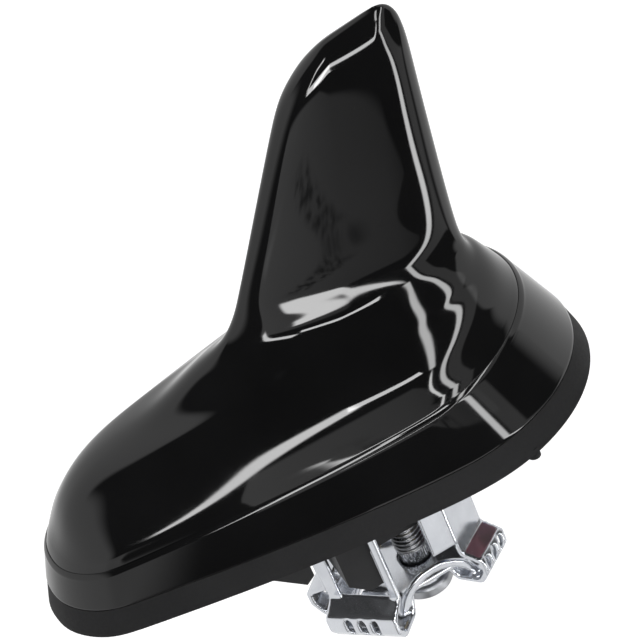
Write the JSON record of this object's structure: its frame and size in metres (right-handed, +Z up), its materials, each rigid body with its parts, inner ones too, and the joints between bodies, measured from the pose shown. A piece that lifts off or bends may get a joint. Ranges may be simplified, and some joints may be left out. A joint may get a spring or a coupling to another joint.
{
  "type": "shark fin aerial",
  "caption": "Shark fin roof aerial: gloss black cover with a raked fin on a teardrop base, rubber gasket, and a sheet metal claw clamp under the roof drawn up by a bolt.",
  "frame": {"origin": "on the roof skin, on the middle plane, half way along the base", "axes": "+X towards the tail and the rear of the car, +Y to the right side of the car, +Z up from the roof"},
  "size_m": [0.13, 0.0698, 0.1386],
  "materials": {
    "cover_black": "high gloss black",
    "gasket_rubber": "matt black rubber",
    "moulded_black": "moulded black",
    "board_green": "lacquered circuit board",
    "patch_ceramic": "fired ceramic",
    "tinned_sheet": "tinned sheet",
    "screw_steel": "zinc plated steel",
    "connector_red": "moulded dark red",
    "connector_blue": "moulded blue",
    "insulator_white": "white insulating plastic",
    "contact_brass": "plain brass",
    "bright_zinc": "bright zinc plated stamping",
    "bolt_zinc": "zinc plated bolt"
  },
  "bodies": {
    "root": {"fin_cover": "cover_black", "base_gasket": "gasket_rubber", "base_plate": "moulded_black", "main_board": "board_green", "fin_board": "board_green", "fin_board_clips": "tinned_sheet", "patch_antenna": "patch_ceramic", "patch_feed_pin": "contact_brass", "shield_can": "tinned_sheet", "board_screws": "screw_steel", "cover_screws": "screw_steel", "phone_connector_housing": "connector_red", "phone_connector_shell": "contact_brass", "phone_connector_insulator": "insulator_white", "phone_connector_pin": "contact_brass", "navigation_connector_housing": "connector_blue", "navigation_connector_shell": "contact_brass", "navigation_connector_insulator": "insulator_white", "navigation_connector_pin": "contact_brass", "threaded_insert": "contact_brass"},
    "clamp": {"clamp_bracket": "bright_zinc"},
    "bolt": {"clamp_bolt": "bolt_zinc", "bolt_collar": "bolt_zinc"}
  },
  "joints": [
    {"name": "clamp_slide", "type": "slide", "parent": "root", "child": "clamp", "axis": [0, 0, 1], "range_m": [0, 0.00375]},
    {"name": "bolt_turn", "type": "hinge", "parent": "clamp", "child": "bolt", "pos_m": [0.0117, 0, -0.0385], "axis": [0, 0, 1], "range_deg": [0, 1080.5]}
  ],
  "couplings": [
    {"joint": "bolt_turn", "follows": "clamp_slide", "rad_per_m": 5026.5}
  ]
}
